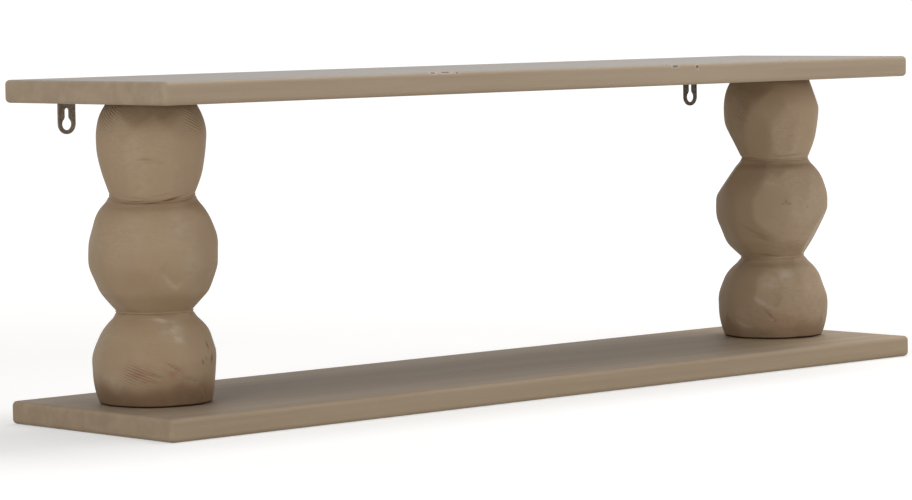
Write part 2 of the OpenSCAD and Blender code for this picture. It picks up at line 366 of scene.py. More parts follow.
def wax_and_shade_over(tree, paint, place, shade_and_wax, colour):
    """The colour under dark wax and painted shade: thick in the creases, blotched at 14 mm, and darkest in
    the foot joint.
    """
    blotch = add_node(tree, "ShaderNodeTexNoise", {"Vector": place, "Scale": 70, "Detail": 3})
    patchy = add_node(tree, "ShaderNodeMapRange", {
        "Value": blotch.outputs["Fac"], "From Min": 0.2, "From Max": 0.8, "To Min": 0.9, "To Max": 1.1},
        interpolation_type="SMOOTHSTEP")
    share = add_node(tree, "ShaderNodeMath", {0: patchy, 1: shade_and_wax}, operation="MULTIPLY")
    darkened = add_node(tree, "ShaderNodeMix", {
        "Factor": share, "A": colour, "B": linear(paint.wax_and_shade_colour)}, data_type="RGBA")
    return coat(tree, darkened.outputs["Result"], paint.joint_colour, shade_and_wax, 1.2, 2.0)


def rasp_over(tree, rasped, relief):
    """The relief under rasp marks nine times as high, 2 mm apart, that slant down to the right."""
    wrap = add_node(tree, "ShaderNodeAttribute", attribute_name="wrap").outputs["Vector"]
    slanted = add_node(tree, "ShaderNodeMapping", {"Vector": wrap, "Rotation": (0, 0, math.radians(25))})
    teeth = add_node(tree, "ShaderNodeTexWave", {
        "Vector": slanted, "Scale": 157, "Distortion": 1.2, "Detail": 1}, bands_direction="Y")
    rasp = add_node(tree, "ShaderNodeMath", {0: teeth.outputs["Fac"], 1: rasped}, operation="MULTIPLY")
    return add_node(tree, "ShaderNodeMath", {0: rasp, 1: 9.0, 2: relief},
                    operation="MULTIPLY_ADD")


def post_paint(name, paint):
    """Satin acrylic furniture paint over hand-carved hardwood, waxed after it dried.

    It gives the eye an even taupe a little warmer than the boards, with dark wax left in the creases
    and pits, a thin reddish coat where the grain was rubbed, pale wear, and fine rasp marks. Painted
    shade darkens the creases, the coves below the necks, some facets, the feet and the crowns, and
    painted highlights lie on some edges and facets.
    """
    material, tree, place = new_material(name)
    # Shares of dark wax with painted shade, of the rubbed coat, of pale wear with painted highlights, and of
    # rasp marks
    marks = {kind: add_node(tree, "ShaderNodeAttribute", attribute_name=kind).outputs["Fac"]
             for kind in ("wax_and_shade", "rubbed", "wear_and_highlight", "rasped")}
    # Mottling about 60 mm across
    mottle = add_node(tree, "ShaderNodeTexNoise", {"Vector": place, "Scale": 16, "Detail": 3})
    colour = coat(tree, linear(paint.post_colour), paint.post_patch, mottle.outputs["Fac"], 0.35, 0.65)
    # Level marks of the lathe 1.4 mm apart, and the paint's uneven skin over them, with blobs of 4 mm
    level = add_node(tree, "ShaderNodeMapping", {"Vector": place, "Scale": (0.2, 0.2, 1)})
    turned = add_node(tree, "ShaderNodeTexNoise", {"Vector": level, "Scale": 700, "Detail": 2})
    skin = add_node(tree, "ShaderNodeTexNoise", {
        "Vector": place, "Scale": 260, "Detail": 3, "Roughness": 0.6})
    relief = add_node(tree, "ShaderNodeMath", {0: turned.outputs["Fac"], 1: skin.outputs["Fac"]},
                      operation="ADD")
    colour = coat(tree, colour, paint.post_line, relief, 0.75, 1.35)
    # The rubbed coat and the pale one, partly wear and partly painted highlights, break up into strokes
    # twice as long as wide, 3 and 5 mm wide
    for kind, tint, scale in (("rubbed", paint.rubbed_coat, 330), ("wear_and_highlight", paint.wear_and_highlight_coat, 190)):
        strokes = add_node(tree, "ShaderNodeMapping", {
            "Vector": place, "Rotation": (0, 0.5, 0), "Scale": (0.5, 0.5, 1.0)})
        broken = add_node(tree, "ShaderNodeTexNoise", {
            "Vector": strokes, "Scale": scale, "Detail": 3})
        colour = coat(tree, colour, tint, broken.outputs["Fac"], 0.2, 0.6, marks[kind])
    # Dark wax and painted shade, darkest in the foot joint
    colour = wax_and_shade_over(tree, paint, place, marks["wax_and_shade"], colour)
    relief = rasp_over(tree, marks["rasped"], relief)
    satin_finish(tree, paint, paint.post_sheen, colour, relief, paint.post_relief)
    return material


def antique_bronze(name, plating, rubbed):
    """Stamped steel with antique bronze plating: dark brown metal, rubbed lighter in specks of 2.4 mm."""
    material, tree, place = new_material(name)
    rub = add_node(tree, "ShaderNodeTexNoise", {
        "Vector": place, "Scale": 420, "Detail": 4, "Roughness": 0.65})
    spread = add_node(tree, "ShaderNodeMapRange", {
        "Value": rub.outputs["Fac"], "From Min": 0.35, "From Max": 0.7})
    colour = add_node(tree, "ShaderNodeMix", {
        "Factor": spread, "A": linear(plating), "B": linear(rubbed)}, data_type="RGBA")
    shader = add_node(tree, "ShaderNodeBsdfPrincipled", {
        "Base Color": colour.outputs["Result"], "Metallic": 0.75, "Roughness": 0.5})
    add_node(tree, "ShaderNodeOutputMaterial", {"Surface": shader})
    return material


def zinc_plate(name, colour):
    """Zinc-plated wood screws: pale grey metal, slightly clouded in specks of 1.1 mm."""
    material, tree, place = new_material(name)
    cloud = add_node(tree, "ShaderNodeTexNoise", {"Vector": place, "Scale": 900, "Detail": 2})
    spread = add_node(tree, "ShaderNodeMapRange", {
        "Value": cloud.outputs["Fac"], "To Min": 0.25, "To Max": 0.45})
    shader = add_node(tree, "ShaderNodeBsdfPrincipled", {
        "Base Color": linear(colour), "Metallic": 1.0, "Roughness": spread})
    add_node(tree, "ShaderNodeOutputMaterial", {"Surface": shader})
    return material


def scatter(i):
    """A repeatable value between -1 and 1 that jumps about as i counts up."""
    return np.sin(np.radians(137.5 * i + 20))


class Bobbin:
    """One bobbin's form in millimetres: an arc that leaves the belly upright, above it and below it.

    A row of flats leans past the next by a share of the lean at the arc's end, and starts further round
    by a share of a flat's width. The turn and lean of each flat stray by up to a few degrees.
    """
    row_step = 0.43
    row_turn = 0.38
    turn_stray = 6
    lean_stray = 4

    def __init__(self, settings, level):
        lower, middle = settings.lower_height / MM, settings.middle_height / MM
        top = (HIGH.z - LOW.z) / MM - 2 * board_thickness() / MM
        starts = [0, lower, lower + middle, top]
        band = settings.neck_band / MM / 2
        self.level = level
        self.foot, self.head = starts[level], starts[level + 1]
        self.low = self.foot + (band if level > 0 else 0)
        self.high = self.head - (band if level < 2 else 0)
        self.middle = self.foot + settings.belly_rise[level] / MM
        self.belly = settings.belly_radius[level] / MM
        self.rise = {False: self.middle - self.low, True: self.high - self.middle}
        ends = {False: settings.end_radius[level] / MM, True: settings.end_radius[level + 1] / MM}
        self.arc = {up: ((self.belly - ends[up]) ** 2 + self.rise[up] ** 2) / (2 * (self.belly - ends[up]))
                    for up in (False, True)}

    def flat(self, turn, tilt, depth):
        """A flat as turn, tilt and distance from the middle of the belly, cut depth into the bobbin."""
        arc = self.arc[tilt > 0]
        return turn, tilt, (self.belly - arc) * math.cos(math.radians(tilt)) + arc - depth

    def flats(self, settings, post):
        """The five rows of flats round the bobbin, the same as in the CAD model."""
        flats = []
        around = settings.flats_around
        for row in range(-2, 3):
            up = row > 0
            end_tilt = math.degrees(math.asin(self.rise[up] / self.arc[up]))
            for k in range(around):
                # Each flat has a number of its own, from which its strays follow
                i = 500 * post + 150 * self.level + 20 * row + k
                turn = (FIRST_TURN[post][self.level] + (k + self.row_turn * row) * 360 / around
                        + self.turn_stray * scatter(i))
                tilt = row * self.row_step * end_tilt + self.lean_stray * scatter(i + 5)
                depth = (settings.flat_depth + settings.depth_stray * scatter(i + 9)) / MM
                flats.append(self.flat(turn, tilt, depth))
        return np.array(flats)

    def late_flats(self, post):
        """The deep cuts and the last cuts on this bobbin, as flats."""
        cuts = DEEP_CUTS[post] + LAST_CUTS[post]
        return np.array([self.flat(*cut[1:]) for cut in cuts if cut[0] == self.level])


# Where the rows of flats of each post start to turn, by post and bobbin
FIRST_TURN = [[16, 4, 15], [13, 0, 5]]

# Deeper cuts, which make the right post lean: bobbin from below, turn, tilt and depth. They are the CAD
# model's, save that the cut at the right post's foot, (0, 142, 50), is 1.2 mm shallower here
DEEP_CUTS = [
    [(1, 131, -39, 1), (0, 317, -5, 3.2), (1, 304, -22, 1.5)],
    [(1, 133, 35, 6.2), (1, 305, -28, 5.9), (2, 133, -27, 5.6),
     (0, 142, 50, 2.0), (2, 313, 19, 2.7), (1, 313, 40, 1.2)],
]

# Last cuts of the knife on the fronts, in the same terms, which the CAD model doesn't have
LAST_CUTS = [
    [(2, 190, 9, 2.0), (2, 215, 27, 3.0), (2, 253, 30, 2.4), (2, 272, 9, 2.0),
     (1, 263, 24, 2.5), (0, 190, -18, 2.0)],
    [(2, 222, 5, 1.9), (2, 238, -12, 2.3), (2, 204, -15, 2.8), (2, 177, 2, 2.2), (2, 203, 28, 2.4),
     (1, 190, 31, 2.8), (1, 223, -1, 3.5), (1, 254, 24, 2.0), (0, 239, 32, 2.0), (0, 222, 20, 1.9)],
]

# Marks on the posts, each an oval: turn and height of its middle, half its length and width, its lean in
# degrees, and its depth or for the coats its strength. Heights are above the bottom board
Mark = namedtuple("Mark", "turn height half_length half_width lean depth", defaults=(1,))
CREASES = [
    [Mark(226, 179.8, 6, 0.7, 3, 0.25), Mark(236, 177.5, 5, 0.6, -8, 0.2),
     Mark(222, 176.2, 6, 0.5, 4, 0.15), Mark(206, 148.6, 9, 0.5, 2, 0.4),
     Mark(234, 147.9, 9, 0.6, 6, 0.5), Mark(257, 150.0, 8, 0.8, 12, 0.7),
     Mark(214, 151.4, 10, 0.5, -5, 0.2), Mark(245, 153.5, 8, 0.5, 8, 0.2),
     Mark(216, 145.6, 10, 0.5, 4, 0.2), Mark(293, 43.1, 0.9, 2.2, 0, 0.8),
     Mark(295, 33.4, 1.0, 3.0, -20, 0.8), Mark(280, 31.6, 0.9, 1.6, 30, 0.6),
     Mark(285, 34.0, 0.7, 1.2, 0, 0.5), Mark(248, 29.8, 7, 0.7, -30, 0.35),
     Mark(231, 24.0, 5, 0.8, -15, 0.35), Mark(255, 14, 6, 0.6, -12, 0.2),
     Mark(279, 14, 4.0, 0.8, -30, 0.5), Mark(285, 9, 4.0, 0.8, -40, 0.5),
     Mark(270, 19, 3.0, 0.6, -25, 0.3)],
    [Mark(256, 155.0, 8, 0.6, 4, 0.3), Mark(234, 154.2, 6, 0.6, -4, 0.22),
     Mark(237, 116.6, 1.8, 0.6, 95, 0.45), Mark(234.5, 114.8, 1.8, 0.6, 25, 0.4),
     Mark(240, 114.6, 1.6, 0.6, -30, 0.4), Mark(260, 112, 0.9, 0.9, 0, 0.3),
     Mark(204, 89.9, 12, 0.7, -24, 0.3), Mark(209, 85.6, 6, 0.7, -20, 0.3),
     Mark(214, 70.6, 10, 0.7, -5, 0.35), Mark(218, 21.5, 6, 0.7, -42, 0.4),
     Mark(223.5, 15.4, 1.0, 0.4, 0, 0.4), Mark(225, 16.4, 0.4, 1.0, 0, 0.4)],
]

# A crease from this depth on, in millimetres, gets all the dark wax and painted shade it can
FULL_WAX_AND_SHADE_DEPTH = 0.7

# Scoops of a gouge: channels that end steeply where they lean to and run out flat at the other end
SCOOPS = [
    [Mark(254, 99.5, 11, 11, -133, 2.2), Mark(262, 14, 7, 7, 70, 0.9), Mark(226, 12, 8, 7, 80, 0.8)],
    [Mark(218, 38.2, 9, 11, -108, 2.4), Mark(219, 132.5, 4, 3, -95, 0.5), Mark(192, 20, 9, 9, -110, 0.9)],
]

# How sharply a scoop stops at its steep end, and how much of its width counts for where it stops
SCOOP_STOP = 25
SCOOP_LIP = 0.6

# Coats that show through or lie over the paint: rubbed to a reddish one, and a pale one that is partly
# burnished wear and partly painted highlights on edges and facets that face the light
RUBBED = [
    [Mark(215, 25.5, 10, 6, -12, 0.8), Mark(247, 24.5, 8, 5, 20, 0.8), Mark(264, 13, 9, 4, -10, 0.7)],
    [Mark(234, 15, 20, 7, -8, 0.6)],
]
WEAR_AND_HIGHLIGHTS = [
    [Mark(241, 62.5, 7, 1.8, -12, 0.75), Mark(251, 55.5, 6, 2.8, -38, 0.8),
     Mark(255, 50.5, 5, 3.5, -35, 0.7), Mark(252, 57, 9, 6, 0, 0.6), Mark(257, 131, 9, 11, 0, 0.35),
     Mark(191, 15, 6, 8, 0, 0.4), Mark(245.5, 92.6, 7.5, 1.8, -46, 0.35), Mark(268, 103, 9, 10, 0, 0.2)],
    [Mark(239, 53, 6, 6, 0, 0.7), Mark(220, 47.6, 7, 5, 10, 0.6), Mark(211, 31.2, 8, 1.3, -26, 0.8),
     Mark(219, 131.9, 4, 1.4, 0, 1), Mark(250, 110, 16, 14, 0, 0.3)],
]

# Where a rasp was drawn over the wood and its marks show through the paint
RASPED = [
    [Mark(176, 209, 10, 10, 0, 1.7), Mark(290, 209, 10, 10, 0, 1.7), Mark(214, 25, 11, 7, 0)],
    [Mark(182, 196, 9, 14, 0, 0.8)],
]

# Painted shade in the cove below a neck, under the bobbin above: turn of its middle and half its width
# in degrees, drop of its middle below the neck in millimetres, and strength. The lower neck is 0 and
# the upper one 1
CoveShade = namedtuple("CoveShade", "post neck turn half_width drop strength")
COVE_SHADE = [
    CoveShade(0, 0, 222, 40, 2.4, 0.3),
    CoveShade(0, 1, 235, 90, 5.6, 0.35),
    CoveShade(1, 0, 235, 60, 5.2, 0.3),
    CoveShade(1, 1, 240, 60, 6.0, 0.45),
]

# Painted shade on single facets that lie in shade, each a diamond, and how sharp their edges are
SHADED_FACETS = [
    [Mark(215, 215, 17, 13, 0, 0.22), Mark(246, 217, 15, 10, 0, 0.2)],
    [Mark(190, 208, 18, 16, 0, 0.18), Mark(229, 143, 9, 6, 0, 0.1),
     Mark(163, 9, 10, 12, 0, 0.35), Mark(288, 9, 8, 11, 0, 0.3)],
]
FACET_EDGE = 14

# Round the foot of each post painted shade in a wavy band and a dark joint line, and round its crown a
# painted shadow of the upper board: strength, and its reach in millimetres
FOOT_SHADE_AND_JOINT = [[(0.68, 16.5), (2.6, 1.4)], [(0.4, 12), (2.6, 1.4)]]
CROWN_SHADOW = (0.5, 4.5)

# Waves in the reach of these bands: how many go round the post, and their share of the reach
BAND_WAVES = ((3, 0.15), (13, 0.06))

# How far a neck line strays from level: turn of its lowest point, and drop in millimetres
NeckDrop = namedtuple("NeckDrop", "post neck turn drop")
NECK_DROPS = [
    NeckDrop(0, 1, 225, 4.2),
    NeckDrop(1, 1, 235, 1.6),
    NeckDrop(1, 0, 132, 0.9),
    NeckDrop(1, 0, 312, -0.9),
]

# How far a drop reaches round the post in degrees, and up and down it in millimetres
DROP_TURN = 70
DROP_RISE = 9

# A flat shapes the rays that meet it at more than this cosine
LEAST_FACING = 0.15


def board_thickness():
    """Thickness of a board, from the CAD model."""
    low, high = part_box("bottom_board")
    return high.z - low.z


def soft_least(values, softness):
    """Smooth minimum over the first axis: -softness * log(sum of exp(-value / softness))."""
    least = values.min(0)
    return least - softness * np.log(np.exp(-(values - least) / softness).sum(0))


def plane_radius(flats, turn, height):
    """Radius at which the ray at each turn and height meets each flat, with the flats along the first axis.

    A flat is a plane, and the ray meets it at (distance - sin(tilt) * height) / (cos(tilt) * cos(turn -
    the flat's turn)), or nowhere near if it looks away from the flat.
    """
    facing = np.cos(np.radians(turn[None] - flats[:, 0, None, None]))
    tilt = np.radians(flats[:, 1, None, None])
    reach = flats[:, 2, None, None] - np.sin(tilt) * height[None]
    far = 10 * flats[:, 2].max()
    return np.where(facing > LEAST_FACING, reach / (np.cos(tilt) * np.maximum(facing, LEAST_FACING)), far)


def carved_radius(bobbin, post, turn, height, settings):
    """Radius of a bobbin at each turn and height above its belly's middle, all arrays of one shape.

    The body is the soft minimum of its flats' radii, moved out again row by row by as much as the
    softness took off on average. The late cuts then go into it with sharper edges.
    """
    radius = plane_radius(bobbin.flats(settings, post), turn, height)
    soft = soft_least(radius, settings.ridge / MM)
    body = soft + (radius.min(0) - soft).mean(1, keepdims=True)
    late = plane_radius(bobbin.late_flats(post), turn, height)
    return soft_least(np.vstack([body[None], late]), settings.late_ridge / MM)


def eased_steps(count):
    """Shares from 0 to 1 that crowd together at both ends: (1 - cos(pi * t)) / 2."""
    return (1 - np.cos(np.pi * np.linspace(0, 1, count))) / 2


# The neck band from below: share of its height, and depth inside the bobbins' ends in neck insets
NECK_PROFILE = [(0.04, 0.55), (0.16, 0.5), (0.26, -0.15), (0.45, -0.4), (0.66, -0.2), (0.8, 0.5), (0.94, 0.5)]

# How fast a bobbin may widen from its neck, in millimetres out for each millimetre along the axis
NECK_SLOPE = 1.2

# The cove below each neck, in millimetres
COVE_DEPTH = 0.7
COVE_DROP = 5
COVE_REACH = 2.6

# Columns round a post, and rows for each millimetre of a bobbin's height
POST_COLUMNS = 370
ROWS_PER_MM = 1.1


def neck_heights(settings):
    """Heights of the two necks above the bottom board in millimetres."""
    return settings.lower_height / MM, (settings.lower_height + settings.middle_height) / MM


def post_surface(settings, post):
    """Turn, height and radius of a post's surface in degrees and millimetres, each rows by columns.

    Each bobbin's rows run from its foot to its head with the carved radius, which next to a neck widens
    no faster than the neck's slope. Between two bobbins a thin bead lies between two fine grooves. A
    cove, exp(-(rise / reach)^2), runs below the lower groove.
    """
    turn_row = np.linspace(0, 360, POST_COLUMNS, endpoint=False)
    bobbins = [Bobbin(settings, level) for level in range(3)]
    heights, radii = [], []
    for bobbin in bobbins:
        rows = int(round((bobbin.high - bobbin.low) * ROWS_PER_MM))
        turn, z = np.meshgrid(turn_row, bobbin.low + (bobbin.high - bobbin.low) * eased_steps(rows))
        heights.append(z)
        radii.append(carved_radius(bobbin, post, turn, z - bobbin.middle, settings))
    for level in (1, 2):
        below, above = bobbins[level - 1], bobbins[level]
        neck = np.minimum(radii[level - 1][-1], radii[level][0])
        radii[level - 1] = np.minimum(radii[level - 1], neck + NECK_SLOPE * (below.high - heights[level - 1]))
        radii[level] = np.minimum(radii[level], neck + NECK_SLOPE * (heights[level] - above.low))
    stacked_radii, stacked_heights = [radii[0]], [heights[0]]
    for level in (1, 2):
        for share, depth in NECK_PROFILE:
            stacked_radii.append(radii[level][:1] - depth * settings.neck_inset / MM)
            stacked_heights.append(np.full((1, POST_COLUMNS), bobbins[level].foot
                                           + (share - 0.5) * settings.neck_band / MM))
        stacked_radii.append(radii[level])
        stacked_heights.append(heights[level])
    radius, height = np.vstack(stacked_radii), np.vstack(stacked_heights)
    for neck in neck_heights(settings):
        radius = radius - COVE_DEPTH * np.exp(-((height - neck + COVE_DROP) / COVE_REACH) ** 2)
    return np.broadcast_to(turn_row, radius.shape), height, radius


def turn_from(turn, middle):
    """Degrees from a middle to each turn, the short way round."""
    return (turn - middle + 180) % 360 - 180


def mark_axes(turn, height, radius, mark):
    """Where each point lies along a mark's two axes, from its middle and in its half length and width."""
    along = radius * np.radians(turn_from(turn, mark.turn))
    up = height - mark.height
    lean = math.radians(mark.lean)
    return ((along * math.cos(lean) + up * math.sin(lean)) / mark.half_length,
            (up * math.cos(lean) - along * math.sin(lean)) / mark.half_width)


def oval(turn, height, radius, mark):
    """How much of a mark each point has: exp(-u^2 - v^2), with u and v along the mark's axes."""
    u, v = mark_axes(turn, height, radius, mark)
    return np.exp(-u ** 2 - v ** 2)


def drop_necks(settings, post, turn, height):
    """Heights with the neck lines bent.

    A drop fades as exp(-(angle / its reach round)^4 - (rise / its reach up)^2).
    """
    necks = neck_heights(settings)
    bent = height.copy()
    for line in NECK_DROPS:
        if line.post == post:
            angle = turn_from(turn, line.turn)
            rise = height - necks[line.neck]
            bent -= line.drop * np.exp(-(angle / DROP_TURN) ** 4 - (rise / DROP_RISE) ** 2)
    return bent


def cut_marks(post, turn, height, radius):
    """The radius with its creases and scoops.

    A crease is an oval. A scoop is ((1 + u) / 2)^2 (1 - v^4) deep, with u from -1 to 1 along it and v
    across it, and stops short where u^2 + (SCOOP_LIP v)^2 = 1.
    """
    marked = radius.copy()
    for mark in CREASES[post]:
        marked -= mark.depth * oval(turn, height, radius, mark)
    for mark in SCOOPS[post]:
        u, v = mark_axes(turn, height, radius, mark)
        stop = 1 + np.exp(SCOOP_STOP * (np.hypot(u, SCOOP_LIP * v) - 1))
        along = np.clip((1 + u) / 2, 0, 1) ** 2 / stop
        marked -= mark.depth * along * np.clip(1 - v ** 4, 0, 1)
    return marked


def wax_and_shade_share(settings, post, turn, height, radius):
    """Share of dark wax and painted shade at every point: the most that a crease, a cove, a shaded facet
    or a band leaves there.

    A crease holds the more, the deeper it is: dark wax, and painted shade in its hollow. A cove's
    painted shade is exp(-(angle / half width)^2 - (rise / reach)^2). A shaded facet ends where |u| +
    |v| = 1. A band fades as exp(-(distance / reach)^4), and its reach is wavy: painted shade round the
    foot, a dark joint line at the foot, and a painted shadow of the upper board round the crown.
    """
    shade_and_wax = np.zeros_like(radius)
    for mark in CREASES[post]:
        fill = min(1, mark.depth / FULL_WAX_AND_SHADE_DEPTH)
        shade_and_wax = np.maximum(shade_and_wax, fill * oval(turn, height, radius, mark))
    for cove in COVE_SHADE:
        if cove.post == post:
            angle = turn_from(turn, cove.turn)
            rise = height - neck_heights(settings)[cove.neck] + cove.drop
            share = np.exp(-(angle / cove.half_width) ** 2 - (rise / COVE_REACH) ** 2)
            shade_and_wax = np.maximum(shade_and_wax, cove.strength * share)
    for mark in SHADED_FACETS[post]:
        u, v = mark_axes(turn, height, radius, mark)
        shade_and_wax = np.maximum(shade_and_wax, mark.depth / (1 + np.exp(FACET_EDGE * (np.abs(u) + np.abs(v) - 1))))
    wave = 1 + sum(share * np.sin(np.radians(count * turn)) for count, share in BAND_WAVES)
    bands = [(height, *band) for band in FOOT_SHADE_AND_JOINT[post]] + [(height.max() - height, *CROWN_SHADOW)]
    for away, strength, reach in bands:
        shade_and_wax = np.maximum(shade_and_wax, strength * np.exp(-(away / (reach * wave)) ** 4))
    return shade_and_wax


def coat_share(marks, turn, height, radius):
    """Share of one coat at every point: the most that any of its ovals gives there."""
    share = np.zeros_like(radius)
    for mark in marks:
        share = np.maximum(share, mark.depth * oval(turn, height, radius, mark))
    return share


def set_attribute(mesh, name, kind, values):
    """Stores one value, or one vector, at every point of a mesh."""
    attribute = mesh.attributes.new(name, kind, "POINT")
    field = "vector" if kind == "FLOAT_VECTOR" else "value"
    attribute.data.foreach_set(field, values.astype(np.float32).ravel())


def with_poles(values):
    """Values at the rings of a tube mesh, followed by those at its two poles."""
    flat = values.reshape(values.shape[0] * values.shape[1], -1)
    return np.vstack([flat, values[0].reshape(values.shape[1], -1).mean(0),
                      values[-1].reshape(values.shape[1], -1).mean(0)])


def tube_mesh(name, rows):
    """A closed mesh from rings of points, an array of rows by columns by 3, with a pole at each end."""
    count, columns = rows.shape[:2]
    points = with_poles(rows)
    column = np.arange(columns)
    beside = (column + 1) % columns
    start = np.arange(count - 1)[:, None] * columns
    quads = np.stack([start + column, start + beside, start + columns + beside, start + columns + column], -1)
    low_pole, high_pole = count * columns, count * columns + 1
    last = (count - 1) * columns
    caps = [np.stack([beside, column, np.full(columns, low_pole)], -1),
            np.stack([last + column, last + beside, np.full(columns, high_pole)], -1)]
    faces = quads.reshape(-1, 4).tolist() + np.vstack(caps).tolist()
    mesh = bpy.data.meshes.new(name)
    mesh.from_pydata(points.tolist(), [], faces)
    mesh.polygons.foreach_set("use_smooth", np.ones(len(faces), bool))
    mesh.update()
    return mesh


def add_object(context, name, data):
    """A new object of that data in the scene."""
    obj = bpy.data.objects.new(name, data)
    context.scene.collection.objects.link(obj)
    return obj


def round_ends(height, radius, ease):
    """The radius with a post's two ends rounded off by a quarter circle."""
    near_end = np.clip(ease - np.minimum(height, height.max() - height), 0, ease)
    return radius - ease + np.sqrt(ease ** 2 - near_end ** 2)


def build_post(context, post, material):
    """One carved post, standing on its board."""
    settings = context.scene.shelf_posts
    turn, height, radius = post_surface(settings, post)
    height = drop_necks(settings, post, turn, height)
    # Dark wax and painted shade share one attribute
    shares = {"wax_and_shade": wax_and_shade_share(settings, post, turn, height, radius)}
    for kind, marks in (("rubbed", RUBBED), ("wear_and_highlight", WEAR_AND_HIGHLIGHTS), ("rasped", RASPED)):
        shares[kind] = coat_share(marks[post], turn, height, radius)
    radius = round_ends(height, cut_marks(post, turn, height, radius), settings.end_round / MM)
    axis_x = (LOW.x + settings.inset) if post == 0 else (HIGH.x - settings.inset)
    angle = np.radians(turn)
    points = np.stack([axis_x + radius * MM * np.cos(angle),
                       settings.setback + radius * MM * np.sin(angle),
                       board_thickness() + height * MM], -1)
    name = f"carved_{SIDES[post]}_post"
    mesh = tube_mesh(name, points)
    for kind, share in shares.items():
        set_attribute(mesh, kind, "FLOAT", with_poles(share))
    wrap = np.stack([radius.mean() * MM * angle, height * MM, np.zeros_like(angle)], -1)
    set_attribute(mesh, "wrap", "FLOAT_VECTOR", with_poles(wrap))
    piece = add_object(context, name, mesh)
    mesh.materials.append(material)
    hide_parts(f"{SIDES[post]}_post")
    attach(piece, "root")


# Chips along the front edge of the top board: middle and half sizes, in millimetres
CHIPS = [
    ((-144, -93.4, 253.5), (3.8, 2.6, 1.2)),
    ((-131, -93.2, 253.6), (7.0, 2.6, 1.2)),
    ((-120, -94.2, 253.0), (2.4, 1.6, 0.9)),
    ((107, -94.6, 252.8), (2.0, 1.4, 0.9)),
    ((116, -94.8, 252.2), (4.6, 1.6, 1.5)),
    ((141, -94.9, 251.4), (2.0, 1.2, 2.6)),
    ((41, -95, 240), (0.9, 0.6, 0.7)),
]


def dress(nodes, material):
    """Gives CAD nodes a material of their own in place of the plain one."""
    for node in nodes:
        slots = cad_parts[node].data.materials
        slots.clear()
        slots.append(material)


class SHELF_OT_carve_posts(bpy.types.Operator):
    """Carve the two posts and paint them"""
    bl_idname = "shelf.carve_posts"
    bl_label = "Carve posts"

    def execute(self, context):
        paint = post_paint("satin_paint_on_carved_posts", context.scene.shelf_paint)
        for post in (0, 1):
            build_post(context, post, paint)
        return {"FINISHED"}


class SHELF_OT_paint_boards(bpy.types.Operator):
    """Paint the two boards and the plugs"""
    bl_idname = "shelf.paint_boards"
    bl_label = "Paint boards"

    def execute(self, context):
        settings = context.scene.shelf_paint
        # The upper board's top gets a grey painted reflection from end to end, the lower board's top painted
        # shade as far as the right post
        chipped = board_paint("satin_paint_with_chips", settings, settings.top_sheen,
                              PaintedLight(settings.painted_reflection_top, share=0.5, reach=1.0), CHIPS)
        plain = board_paint("satin_paint_on_boards", settings, settings.inside_sheen,
                            PaintedLight(settings.painted_shade_inside, share=0.3, reach=0.27))
        dress(["top_board"] + [f"{side}_plug_{k}" for side in SIDES for k in (1, 2)], chipped)
        dress(["bottom_board"], plain)
        return {"FINISHED"}


class SHELF_OT_finish_hardware(bpy.types.Operator):
    """Plate the hanger plates and the screws"""
    bl_idname = "shelf.finish_hardware"
    bl_label = "Finish hardware"

    def execute(self, context):
        hardware = context.scene.shelf_hardware
        bronze = antique_bronze("antique_bronze_on_stamped_steel", hardware.bronze, hardware.bronze_rubbed)
        dark = antique_bronze("darker_bronze_on_right_plate", hardware.right_plating, hardware.right_plating_rubbed)
        zinc = zinc_plate("zinc_plated_screw_steel", hardware.zinc)
        for side, plating in zip(SIDES, (bronze, dark)):
            dress([f"{side}_hanger_plate", f"{side}_plate_screw_upper", f"{side}_plate_screw_lower"], plating)
            dress([f"{side}_post_{end}_screw_{k}" for end in ("upper", "lower") for k in (1, 2)], zinc)
        return {"FINISHED"}


def shown_white(tree):
    """One where the camera, a reflection or a transmission looks, nought for the light itself."""
    ray = add_node(tree, "ShaderNodeLightPath")
    seen = add_node(tree, "ShaderNodeMath", {
        0: ray.outputs["Is Camera Ray"], 1: ray.outputs["Is Glossy Ray"]}, operation="MAXIMUM")
    return add_node(tree, "ShaderNodeMath", {
        0: seen, 1: ray.outputs["Is Transmission Ray"]}, operation="MAXIMUM")


# Half the floor's side, and how far it lies below the shelf, in metres
FLOOR_HALF = 400.0
FLOOR_GAP = 0.0002

# The floor's own light, near the shelf and far away: distance from the middle in metres, and strength
NEAR_GLOW = (0.5, 0.4)
FAR_GLOW = (3.0, 1.0)


def lay_floor(context, colour):
    """A pale plain floor under the shelf, which runs on past the horizon of the picture."""
    corners = [(x * FLOOR_HALF, y * FLOOR_HALF, LOW.z - FLOOR_GAP)
               for x, y in ((-1, -1), (1, -1), (1, 1), (-1, 1))]
    mesh = bpy.data.meshes.new("studio_floor")
    mesh.from_pydata(corners, [], [(0, 1, 2, 3)])
    floor = add_object(context, "studio_floor", mesh)
    material, tree, place = new_material("pale_seamless_paper")
    matt = add_node(tree, "ShaderNodeBsdfPrincipled", {
        "Base Color": linear(colour), "Roughness": 1.0, "Specular IOR Level": 0.0})
    # Light of its own that only the camera and reflections see lifts the paper to white, more so far
    # away where the lamps don't reach
    away = add_node(tree, "ShaderNodeVectorMath", {0: place}, operation="LENGTH").outputs["Value"]
    lift = add_node(tree, "ShaderNodeMapRange", {
        "Value": away, "From Min": NEAR_GLOW[0], "From Max": FAR_GLOW[0],
        "To Min": NEAR_GLOW[1], "To Max": FAR_GLOW[1]})
    glow = add_node(tree, "ShaderNodeEmission", {"Color": (1, 1, 1, 1), "Strength": lift})
    both = add_node(tree, "ShaderNodeAddShader", {0: matt, 1: glow})
    paper = add_node(tree, "ShaderNodeMixShader", {0: shown_white(tree), 1: matt, 2: both})
    add_node(tree, "ShaderNodeOutputMaterial", {"Surface": paper})
    mesh.materials.append(material)


